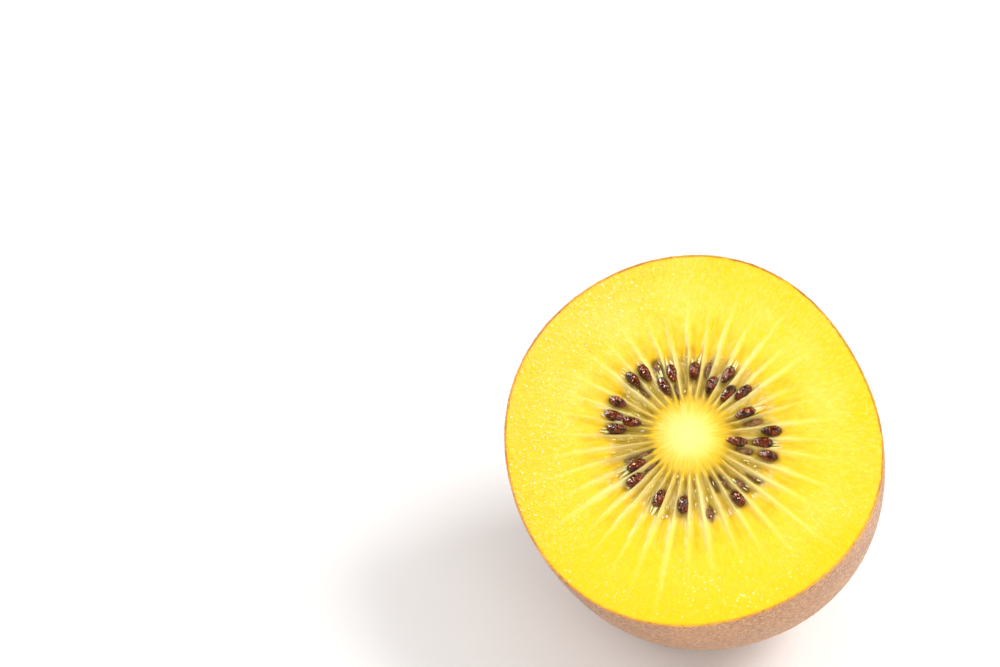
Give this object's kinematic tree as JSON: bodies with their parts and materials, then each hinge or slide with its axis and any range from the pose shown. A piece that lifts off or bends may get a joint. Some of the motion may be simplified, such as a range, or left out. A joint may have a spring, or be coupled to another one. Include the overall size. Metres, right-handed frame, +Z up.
{
  "type": "golden kiwi fruit half",
  "caption": "Half a golden kiwi fruit, cut across, with pale core, fanned rays and dark seeds on its cut face, resting on its rounded brown skin.",
  "frame": {"origin": "middle of the small flat spot that the half rests on, at table height", "axes": "+Z up; the cut face is tilted 27 degrees towards -Y, so its normal is (0, -0.454, 0.891); X runs across the cut face"},
  "size_m": [0.0517, 0.0516, 0.0451],
  "materials": {
    "flesh": "wet ripe fruit flesh, bright golden yellow, translucent olive gold between the rays and pale cream-yellow at the core",
    "seed": "glossy dark red-brown seeds, finely pitted",
    "skin": "thin dry brown fruit skin, satin, densely freckled with small pale tan spots"
  },
  "bodies": {
    "root": {"kiwi_half": "flesh"}
  },
  "joints": []
}
